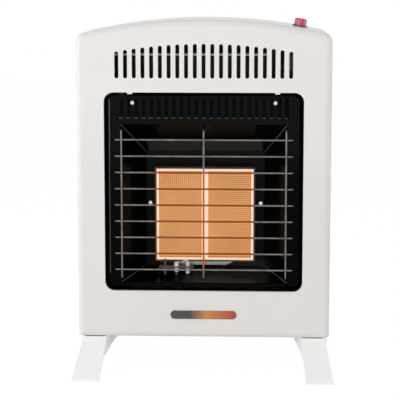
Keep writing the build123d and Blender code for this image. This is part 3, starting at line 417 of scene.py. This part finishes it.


# %% Heat tint, painted glow, reflection and shade
# Zones in metres: centre, half size, softness of the sides
# Heat tint of the guard over the plaques, and a painted glow there for the plaques' light on the wires
guard_tint_and_glow_zone = ((0, -0.08, 0.22), (0.0695, 0.01, 0.0655), 0.002)
# Stronger painted glow on the middle upright
middle_wire_glow_zone = ((0, -0.0825, 0.22), (0.0014, 0.0025, 0.0655), 0.001)
# Painted grey reflection on the funnel enamel above the plaques
reflection_above_plaques = ((0, -0.0265, 0.318), (0.079, 0.03, 0.0075), 0.004)
# Painted grey reflection on the funnel enamel below the plaques
reflection_below_plaques = ((0.03, -0.04, 0.137), (0.05, 0.03, 0.006), 0.02)
# Painted shade on the inner face of the back panel
shade_inside_back = ((0, 0.0775, 0.27), (0.2, 0.0068, 0.3), 0.0003)
# Painted shade on the inner walls of the cover
shade_inside_cover = ((0, 0.0025, 0.2595), (0.1741, 0.082, 0.2035), 0.0002)
# Painted highlight along the top hem of the baffle
baffle_hem_highlight = ((0, -0.063, 0.4475), (0.2, 0.0008, 0.004), 0.0003)
# Dark colour of the painted shade inside the cabinet
painted_shade_colour = (0.02, 0.019, 0.018)
# Only the brown of the guard is heat tint; the other changes are painted glow, reflection, shade and
# highlight
changes = (
    (guard_wire, "Base Color", (0.1, 0.03, 0.006), guard_tint_and_glow_zone),
    (guard_wire, "Emission Color", (0.17, 0.035, 0.001), guard_tint_and_glow_zone),
    (guard_wire, "Emission Color", (0.36, 0.04, 0.008), middle_wire_glow_zone),
    (funnel_enamel, "Base Color", (0.042, 0.036, 0.032), reflection_above_plaques),
    (funnel_enamel, "Base Color", (0.022, 0.021, 0.018), reflection_below_plaques),
    (back_zinc, "Base Color", painted_shade_colour, shade_inside_back),
    (shaded_baffle_zinc, "Base Color", (0.5, 0.5, 0.5), baffle_hem_highlight),
    (white_enamel, "Base Color", painted_shade_colour, shade_inside_cover),
)
for material, socket, colour, zone in changes:
    recolour(material, socket, colour, zone)
# Counts the zones of heat tint and painted light
print("heat and soot zones", len(changes))

# %% [markdown]
# The enamel ran thicker over the rolled edge of the surround and over the lower ends of the louvres, and
# it mirrors more light there. A brighter colour would show from every side. A clear coat with a mask
# only mirrors the lamps, as the real edge does, and leaves the flat face black.

# %% Glossy edges of the surround
left_edge = ((-0.134, -0.07, 0.268), (0.0035, 0.02, 0.124), 0.0012)
upper_left_edge = ((-0.117, -0.07, 0.3945), (0.016, 0.02, 0.0024), 0.0012)
lower_edge = ((0, -0.07, 0.1225), (0.1, 0.02, 0.0012), 0.003)
louvre_ends = ((0, -0.0768, 0.3606), (0.118, 0.0022, 0.0008), 0.0006)
coat_inside(black_enamel, (left_edge, upper_left_edge, lower_edge, louvre_ends))

# %% [markdown]
# ## Glowing ceramic
# A plaque glows through its small holes, while the plain rim stays paler. The holes are real geometry,
# made further down, so no dots are painted: field, holes and rim each get a finish of their own. The
# glow is an emission that drifts with a cloud, and it is soft enough not to clip.

# %% Plaque finishes


def glowing_ceramic(name, dark, light, glow_dark, glow_light):
    """Ceramic whose colour and glow drift together."""
    clouds = 26.0
    material = finish(name, dark, light, 0.85, grain=1200.0, height=0.00008, clouds=clouds)
    tree = material.node_tree
    shader = tree.nodes["Principled BSDF"]
    cloud = noise_texture(tree, clouds, detail=3.0)
    glow = two_tones(tree, cloud.outputs["Fac"], glow_dark, glow_light, 0.35, 0.65)
    tree.links.new(glow, shader.inputs["Emission Color"])
    shader.inputs["Emission Strength"].default_value = 1.0
    return material


plaque_field = glowing_ceramic(
    "plaque_field", (0.46, 0.26, 0.13), (0.52, 0.30, 0.15), (0.45, 0.195, 0.056), (0.52, 0.225, 0.07)
)
plaque_hole = glowing_ceramic(
    "plaque_hole", (0.16, 0.06, 0.02), (0.2, 0.08, 0.03), (0.16, 0.045, 0.006), (0.22, 0.065, 0.01)
)
plaque_rim = glowing_ceramic(
    "plaque_rim", (0.72, 0.58, 0.44), (0.76, 0.62, 0.48), (0.48, 0.30, 0.20), (0.56, 0.36, 0.25)
)

# %% [markdown]
# ## Badge
# A plain pill lies under the window, dark at one end and warming over amber to red at the other. Three
# short pieces of different finish would show joints, so one ramp runs along the pill. It reads the
# piece's own X between the two ends of the badge.

# %% Badge finish
badge_finish = finish("badge_finish", (0.02, 0.018, 0.016), (0.03, 0.026, 0.022), 0.25, coat=0.6)
badge_low, badge_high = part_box("badge_plate")
tree = badge_finish.node_tree
coordinates = tree.nodes.new("ShaderNodeTexCoord")
parts = tree.nodes.new("ShaderNodeSeparateXYZ")
span = tree.nodes.new("ShaderNodeMapRange")
span.inputs["From Min"].default_value = badge_low[0]
span.inputs["From Max"].default_value = badge_high[0]
gradient = tree.nodes.new("ShaderNodeValToRGB")
gradient.color_ramp.elements[0].position = 0.30
gradient.color_ramp.elements[0].color = (0.03, 0.026, 0.022, 1)
gradient.color_ramp.elements[1].position = 0.95
gradient.color_ramp.elements[1].color = (0.42, 0.03, 0.012, 1)
amber = gradient.color_ramp.elements.new(0.55)
amber.color = (0.55, 0.22, 0.04, 1)
tree.links.new(coordinates.outputs["Object"], parts.inputs["Vector"])
tree.links.new(parts.outputs["X"], span.inputs["Value"])
tree.links.new(span.outputs["Result"], gradient.inputs["Fac"])
tree.links.new(gradient.outputs["Color"], tree.nodes["Principled BSDF"].inputs["Base Color"])

# %% [markdown]
# ## Finishes onto the frame
# The record names a slot for each node, so most nodes get their finish by that name. A few share a slot
# with pieces that look different and are named one by one, such as the sheets inside the cabinet, which
# get darker copies of the zinc as painted shade, and the feet, which get a lighter copy of the white
# enamel as painted light.

# %% Give each node of the frame its finish
slot_finishes = {
    "white_enamel": white_enamel,
    "zinc_sheet": zinc_sheet,
    "black_enamel": black_enamel,
    "glowing_ceramic": plaque_rim,
    "fibre_gasket": fibre_gasket,
    "frame_steel": frame_steel,
    "guard_wire": guard_wire,
    "screw_steel": screw_steel,
    "white_screw": white_screw,
    "tube_aluminium": tube_aluminium,
    "brass": brass,
    "copper_lead": copper_lead,
    "electrode_ceramic": electrode_ceramic,
    "lead_sleeve": lead_sleeve,
    "collar_plastic": collar_plastic,
    "red_plastic": red_plastic,
    "badge_plastic": badge_finish,
}
slot_of = {entry["node"]: entry["material_slot"] for entry in frame["record"]["subparts"]}
for name, piece in nodes.items():
    piece.data.materials.clear()
    piece.data.materials.append(slot_finishes[slot_of[name]])
other_finishes = {
    lit_foot_enamel: ("left_foot", "right_foot"),
    funnel_enamel: (
        "reflector_top",
        "reflector_bottom",
        "reflector_left",
        "reflector_right",
        "burner_crossmember",
    ),
    back_zinc: ("back_panel",),
    shaded_baffle_zinc: ("heat_baffle",),
    shaded_inner_zinc: (
        "side_rail_left",
        "side_rail_right",
        "injector_bracket",
        "valve_bracket",
        "pilot_bracket",
        "burner_box",
    ),
    screw_steel: ("pilot_burner",),
}
for material, names in other_finishes.items():
    for name in names:
        nodes[name].data.materials[0] = material
print("finishes given to", len(slot_of), "nodes")

# %% [markdown]
# ## Modelling helpers
# Everything below is shaped as by hand: a primitive is added at its size and place, faces are picked
# by where they lie, and edit-mode operators shape them. An operator acts on all that is selected, so
# each piece starts with nothing selected. These helpers keep that short.

# %% Modelling helpers


def start_piece():
    """Leaves nothing selected, so the next operator acts on the next piece alone."""
    if bpy.context.object and bpy.context.object.mode != "OBJECT":
        bpy.ops.object.mode_set(mode="OBJECT")
    bpy.ops.object.select_all(action="DESELECT")


def add_block(place, size, turn=0.0):
    """Cube primitive turned about Z and brought to its size, with its place applied."""
    start_piece()
    bpy.ops.mesh.primitive_cube_add(size=1, location=place, rotation=(0, 0, turn))
    block = bpy.context.object
    block.scale = size
    bpy.ops.object.transform_apply(location=True, rotation=True, scale=True)
    return block


def pick_faces(piece, test):
    """Selects the faces of a piece in edit mode for which the test holds."""
    mesh = bmesh.from_edit_mesh(piece.data)
    for vertex in mesh.verts:
        vertex.select = False
    for edge in mesh.edges:
        edge.select = False
    for face in mesh.faces:
        face.select = test(face)
    mesh.select_flush_mode()
    bmesh.update_edit_mesh(piece.data)


def join_pieces(pieces):
    """Joins several objects into the first of them."""
    bpy.ops.object.select_all(action="DESELECT")
    for piece in pieces:
        piece.select_set(True)
    bpy.context.view_layer.objects.active = pieces[0]
    bpy.ops.object.join()
    return bpy.context.object


def finish_piece(piece, name, material, body="heater", angle=40):
    """Names a piece, applies its place, gives it a finish and lets it ride on a body."""
    if bpy.context.object.mode != "OBJECT":
        bpy.ops.object.mode_set(mode="OBJECT")
    piece.name = name
    piece.data.name = name
    bpy.ops.object.transform_apply(location=True, rotation=True, scale=True)
    bpy.ops.object.shade_smooth_by_angle(angle=math.radians(angle))
    piece.data.materials.clear()
    piece.data.materials.append(material)
    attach(piece, body)
    return piece


# %% [markdown]
# ## Ceramic plaques
# A plaque is a slab with well over a thousand small holes. Painting dots on it would look flat, and
# cutting each hole with a Boolean would be slow. So the field is a fine grid whose cells are each inset
# and pushed inwards. Its outer edge is then drawn out to the rim and back round the slab.

# %% Perforated field
hole_pitch = 0.0029
hole_wall = hole_pitch * 0.2
hole_depth = 0.0012
rim_width = 0.0042
field_slot, hole_slot, rim_slot = range(3)


def perforated_field(low, high, columns, rows):
    """Grid inside the rim of a plaque, with a square pit in every cell."""
    size = high - low
    start_piece()
    bpy.ops.mesh.primitive_grid_add(
        x_subdivisions=columns,
        y_subdivisions=rows,
        size=1,
        location=((low.x + high.x) / 2, low.y, (low.z + high.z) / 2),
        rotation=(math.pi / 2, 0, 0),
    )
    piece = bpy.context.object
    piece.scale = (size.x - 2 * rim_width, size.z - 2 * rim_width, 1)
    bpy.ops.object.transform_apply(location=True, rotation=True, scale=True)
    bpy.ops.object.mode_set(mode="EDIT")
    bpy.ops.mesh.select_all(action="SELECT")
    bpy.ops.mesh.inset(thickness=hole_wall, use_individual=True)
    bpy.ops.mesh.extrude_region_move(TRANSFORM_OT_translate={"value": (0, hole_depth, 0)})
    bpy.ops.object.mode_set(mode="OBJECT")
    for material in (plaque_field, plaque_hole, plaque_rim):
        piece.data.materials.append(material)
    for face in piece.data.polygons:
        face.material_index = hole_slot if face.center.y > low.y + hole_depth * 0.3 else field_slot
    return piece


# %% Rim and slab


def close_slab(piece, low, high):
    """Draws the open edge of a field out to the rim and back to a closed slab."""
    size = high - low
    bpy.ops.object.mode_set(mode="EDIT")
    bpy.ops.mesh.select_mode(type="EDGE")
    bpy.ops.mesh.select_all(action="DESELECT")
    bpy.ops.mesh.select_non_manifold(
        use_wire=False, use_boundary=True, use_multi_face=False, use_non_contiguous=False, use_verts=False
    )
    bpy.ops.mesh.extrude_edges_move(TRANSFORM_OT_translate={"value": (0, 0, 0)})
    bpy.ops.transform.resize(
        value=(size.x / (size.x - 2 * rim_width), 1, size.z / (size.z - 2 * rim_width)),
        center_override=((low.x + high.x) / 2, low.y, (low.z + high.z) / 2),
    )
    bpy.ops.mesh.extrude_edges_move(TRANSFORM_OT_translate={"value": (0, size.y, 0)})
    bpy.ops.mesh.edge_face_add()
    bpy.ops.mesh.select_mode(type="FACE")
    bpy.ops.object.mode_set(mode="OBJECT")
    field = size / 2 - Vector((rim_width, 0, rim_width))
    middle = (low + high) / 2
    for face in piece.data.polygons:
        outside = abs(face.center.x - middle.x) > field.x or abs(face.center.z - middle.z) > field.z
        if outside or face.center.y > low.y + hole_depth * 1.5:
            face.material_index = rim_slot


# %% Plaques
for node in ("ceramic_tile_left", "ceramic_tile_right"):
    low, high = (Vector(corner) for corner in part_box(node))
    columns = round((high.x - low.x - 2 * rim_width) / hole_pitch)
    rows = round((high.z - low.z - 2 * rim_width) / hole_pitch)
    piece = perforated_field(low, high, columns, rows)
    close_slab(piece, low, high)
    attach(piece, "heater")
    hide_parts(node)
    piece.name = node + "_perforated"
    print(node, "holes", columns * rows, "faces", len(piece.data.polygons))

# %% [markdown]
# ## Weld nuggets of the guard
# The three uprights are spot welded in front of the nine cross wires, and each weld squeezes out a small
# flat nugget. A bump in the wire's finish would vanish in profile, so the nuggets are geometry. One
# ball is pressed flat and copied to every crossing, and the copies become one piece.

# %% Weld nuggets
upright_places = (-0.1135, 0.0, 0.1135)
lowest_wire, wire_pitch, wire_count = 0.1492, 0.0227, 9
wire_heights = [lowest_wire + wire_pitch * row for row in range(wire_count)]
weld_y = -0.0802
weld_radius = 0.0019
pressed_flat = (1.0, 0.7, 0.75)
start_piece()
nuggets = []
for x in upright_places:
    for z in wire_heights:
        bpy.ops.object.select_all(action="DESELECT")
        if nuggets:
            nuggets[0].select_set(True)
            bpy.context.view_layer.objects.active = nuggets[0]
            bpy.ops.object.duplicate()
        else:
            bpy.ops.mesh.primitive_uv_sphere_add(
                segments=12, ring_count=8, radius=weld_radius, location=(0, 0, 0)
            )
            bpy.ops.object.mode_set(mode="EDIT")
            bpy.ops.transform.resize(value=pressed_flat)
            bpy.ops.object.mode_set(mode="OBJECT")
        nugget = bpy.context.object
        nugget.location = (x, weld_y, z)
        nuggets.append(nugget)
welds = finish_piece(join_pieces(nuggets), "guard_welds", guard_wire)
print("weld nuggets", len(nuggets))

# %% [markdown]
# ## Screws with cross recesses
# The screws are domed heads with a cross recess. A dark cross painted on the head would not catch the
# light, so the recess is cut. Each head starts as a cylinder whose top edge is bevelled into a dome, and
# two crossed blocks are cut out of it with a Boolean modifier that is applied. The heads stand where
# the frame has them, so their places come from the boxes of those nodes.

# %% Screw helper
# Shares of a head's height
dome_share = 0.62
recess_depth = 0.9
# Shares of a head's radius
recess_length = 1.15
recess_width = 0.26
recess_taper = 0.45


def recessed_head(place, axis, radius, height):
    """One domed head with a cross recess, its base at a place and its top along an axis."""
    start_piece()
    bpy.ops.mesh.primitive_cylinder_add(
        vertices=32, radius=radius, depth=height, location=(0, 0, height / 2)
    )
    head = bpy.context.object
    bpy.ops.object.transform_apply(location=True)
    bpy.ops.object.mode_set(mode="EDIT")
    pick_faces(head, lambda face: face.normal.z > 0.9)
    bpy.ops.mesh.bevel(offset=height * dome_share, segments=4, affect="EDGES")
    bpy.ops.object.mode_set(mode="OBJECT")
    cutters = []
    for turn in (0, math.pi / 2):
        cutter_size = (radius * recess_length, radius * recess_width, height * recess_depth)
        cutter = add_block((0, 0, height), cutter_size, turn)
        bpy.ops.object.mode_set(mode="EDIT")
        pick_faces(cutter, lambda face: face.normal.z < -0.9)
        bpy.ops.transform.resize(value=(recess_taper, recess_taper, 1))
        bpy.ops.object.mode_set(mode="OBJECT")
        cutters.append(cutter)
    for cutter in cutters:
        recess = head.modifiers.new("recess", "BOOLEAN")
        recess.operation = "DIFFERENCE"
        recess.solver = "EXACT"
        recess.object = cutter
        bpy.context.view_layer.objects.active = head
        bpy.ops.object.modifier_apply(modifier=recess.name)
    for cutter in cutters:
        bpy.data.objects.remove(cutter, do_unlink=True)
    head.rotation_euler = Vector(axis).to_track_quat("Z", "Y").to_euler()
    head.location = place
    return head


def recessed_screws(node, name, places, radius, height, material):
    """Row of screws that stands for a node of the frame."""
    heads = [recessed_head(place, axis, radius, height) for place, axis in places]
    screws = finish_piece(join_pieces(heads), name, material, angle=35)
    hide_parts(node)
    print(name, len(heads), "heads")


# %% Screws of the surround, burner, cover and feet
small_radius, large_radius = 0.0027, 0.0036
small_height, large_height = 0.0018, 0.0022
for node, radius, height, material in (
    ("surround_screws", small_radius, small_height, white_screw),
    ("burner_screws", large_radius, large_height, screw_steel),
):
    low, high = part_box(node)
    level = (low[2] + high[2]) / 2
    places = [((side * (high[0] - radius), low[1] + height, level), (0, -1, 0)) for side in (-1, 1)]
    recessed_screws(node, node + "_recessed", places, radius, height, material)
low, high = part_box("cover_screws")
places = [
    ((side * (high[0] - large_height), low[1] + large_radius, z), (side, 0, 0))
    for side in (-1, 1)
    for z in (low[2] + large_radius, high[2] - large_radius)
]
recessed_screws("cover_screws", "cover_screws_recessed", places, large_radius, large_height, screw_steel)
low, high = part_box("foot_screws")
places = [
    ((side * (high[0] - large_radius), end * (high[1] - large_radius), low[2] + large_height), (0, 0, -1))
    for side in (-1, 1)
    for end in (-1, 1)
]
recessed_screws("foot_screws", "foot_screws_recessed", places, large_radius, large_height, screw_steel)

# %% [markdown]
# ## Seams of the reflector
# The four panels of the funnel meet along slanting seams, which show as thin grey lines: partly the
# rods' own reflection and partly a painted glint in their lighter grey colour. A curve with a bevel could
# follow each seam, but the seams are straight, so a slim rod between the two ends of each corner does it
# with fewer faces. Its ends are rounded with a bevel.

# %% Seam beads
# Lighter grey than the funnel enamel: a painted glint on the seams, beside their real reflection
seam_glint_enamel = finish(
    "seam_glint_enamel", (0.03, 0.03, 0.03), (0.09, 0.088, 0.085), 0.25, clouds=60.0, specular=0.5
)
seam_radius = 0.0009
mouth_x, mouth_y, mouth_top, mouth_bottom = 0.1149, -0.0728, 0.3512, 0.1305
throat_x, throat_y, throat_top, throat_bottom = 0.0836, -0.0150, 0.3070, 0.1437
beads = []
for side in (-1, 1):
    for mouth_z, throat_z in ((mouth_top, throat_top), (mouth_bottom, throat_bottom)):
        near = Vector((side * mouth_x, mouth_y, mouth_z))
        far = Vector((side * throat_x, throat_y, throat_z))
        along = far - near
        start_piece()
        bpy.ops.mesh.primitive_cylinder_add(
            vertices=12, radius=seam_radius, depth=along.length, location=(0, 0, 0)
        )
        bead = bpy.context.object
        bpy.ops.object.mode_set(mode="EDIT")
        pick_faces(bead, lambda face: abs(face.normal.z) > 0.9)
        bpy.ops.mesh.bevel(offset=seam_radius * 0.7, segments=3, affect="EDGES")
        bpy.ops.object.mode_set(mode="OBJECT")
        bead.rotation_euler = along.to_track_quat("Z", "Y").to_euler()
        bead.location = (near + far) / 2
        beads.append(bead)
seams = finish_piece(join_pieces(beads), "reflector_seams", seam_glint_enamel)
print("reflector seams", len(beads))

# %% [markdown]
# ## Lip under the plaques
# A short bright flap is folded down under the plaques, wider above than below. A flat plane would have
# no edge to catch the light, so it starts as a thin block. Its lower face is narrowed, and its edges
# are bevelled.

# %% Flame lip
lip_steel = finish("lip_steel", (0.34, 0.34, 0.32), (0.46, 0.46, 0.43), 0.4, metal=0.1, clouds=120.0)
lip_x, lip_y, lip_z = -0.001, -0.0332, 0.1502
lip_width, lip_thickness, lip_height = 0.082, 0.0010, 0.0048
lip_narrowing = 0.76
lip = add_block((lip_x, lip_y, lip_z), (lip_width, lip_thickness, lip_height))
bpy.ops.object.mode_set(mode="EDIT")
pick_faces(lip, lambda face: face.normal.z < -0.9)
bpy.ops.transform.resize(
    value=(lip_narrowing, 1, 1), center_override=(lip_x, lip_y, lip_z - lip_height / 2)
)
bpy.ops.mesh.select_all(action="SELECT")
bpy.ops.mesh.bevel(offset=0.0002, segments=2, affect="EDGES")
bpy.ops.object.mode_set(mode="OBJECT")
lip = finish_piece(lip, "flame_lip", lip_steel)
print("flame lip", len(lip.data.polygons), "faces")

# %% [markdown]
# ## Painted shade over the feet
# A dark line shows where each foot meets the cabinet. A darker band in the finish of the foot would bend
# round its edge, so a thin dark strip is laid as painted shade in the groove between the foot and the
# rolled edge of the cover. Each is a slim block with rounded edges, and both are one piece.

# %% Foot shadow strips
# Dark strips in the gap where each foot meets the cover: painted shade
shadow_strip_finish = finish("shadow_strip_finish", (0.03, 0.022, 0.018), (0.06, 0.045, 0.038), 0.7, clouds=120.0)
shadow_strip_x, shadow_strip_y, shadow_strip_z = 0.152, -0.0791, 0.0541
shadow_strip_size = (0.028, 0.0022, 0.0016)
shadow_strips = []
for side in (-1, 1):
    shadow_strip = add_block((side * shadow_strip_x, shadow_strip_y, shadow_strip_z), shadow_strip_size)
    bpy.ops.object.mode_set(mode="EDIT")
    bpy.ops.mesh.select_all(action="SELECT")
    bpy.ops.mesh.bevel(offset=0.0005, segments=3, affect="EDGES")
    bpy.ops.object.mode_set(mode="OBJECT")
    shadow_strips.append(shadow_strip)
foot_shadow_strips = finish_piece(join_pieces(shadow_strips), "foot_shadow_strips", shadow_strip_finish)
print("foot seals", len(shadow_strips))

# %% [markdown]
# ## Floor and shade
# The floor is a large pale plane under the feet. A lamp strong enough to make it white would burn out
# the heater, so most of its white is a glow for the camera, and the rest keeps the soft shadow of the
# heater. That white would also shine through the keyholes and air slots, where the real cabinet shows
# only the shade behind and below it. So one dark patch stands close behind the cabinet and one lies
# close under it. Only the camera sees them, and only from their front, so they take no light away, and
# views from behind and from below still show the heater.

# %% Floor
floor_glow = 1.04
floor_glow_share = 0.93
start_piece()
bpy.ops.mesh.primitive_plane_add(size=12, location=(0, 0, 0))
floor = bpy.context.object
floor.name = "studio_floor"
floor_finish = bpy.data.materials.new("studio_floor")
floor_finish.use_nodes = True
tree = floor_finish.node_tree
shader = tree.nodes["Principled BSDF"]
shader.inputs["Base Color"].default_value = (0.9, 0.9, 0.9, 1)
shader.inputs["Roughness"].default_value = 0.8
glow = tree.nodes.new("ShaderNodeEmission")
glow.inputs["Strength"].default_value = floor_glow
share = combine(tree, "MULTIPLY", backdrop_rays(tree), floor_glow_share)
surface = blend_shaders(tree, share, shader.outputs["BSDF"], glow.outputs["Emission"])
tree.links.new(surface, tree.nodes["Material Output"].inputs["Surface"])
floor.data.materials.append(floor_finish)

# %% Patches of shade
shade = bpy.data.materials.new("studio_shade")
shade.use_nodes = True
tree = shade.node_tree
shader = tree.nodes["Principled BSDF"]
shader.inputs["Base Color"].default_value = (0.02, 0.02, 0.02, 1)
shader.inputs["Roughness"].default_value = 1.0
clear = tree.nodes.new("ShaderNodeBsdfTransparent")
sides = tree.nodes.new("ShaderNodeNewGeometry")
paths = tree.nodes.new("ShaderNodeLightPath")
front = combine(
    tree, "SUBTRACT", paths.outputs["Is Camera Ray"], sides.outputs["Backfacing"], clamp=True
)
surface = blend_shaders(tree, front, clear.outputs["BSDF"], shader.outputs["BSDF"])
tree.links.new(surface, tree.nodes["Material Output"].inputs["Surface"])
for name, place, turn, size in (
    ("shade_behind", (0, 0.0853, 0.26), (math.pi / 2, 0, 0), (0.29, 0.36)),
    ("shade_below", (0, -0.0125, 0.0538), (0, 0, 0), (0.26, 0.115)),
):
    start_piece()
    bpy.ops.mesh.primitive_plane_add(size=1, location=place, rotation=turn)
    patch = bpy.context.object
    patch.name = name
    patch.scale = (*size, 1)
    bpy.ops.object.transform_apply(location=True, rotation=True, scale=True)
    patch.data.materials.append(shade)

# %% Clear the selection
start_piece()
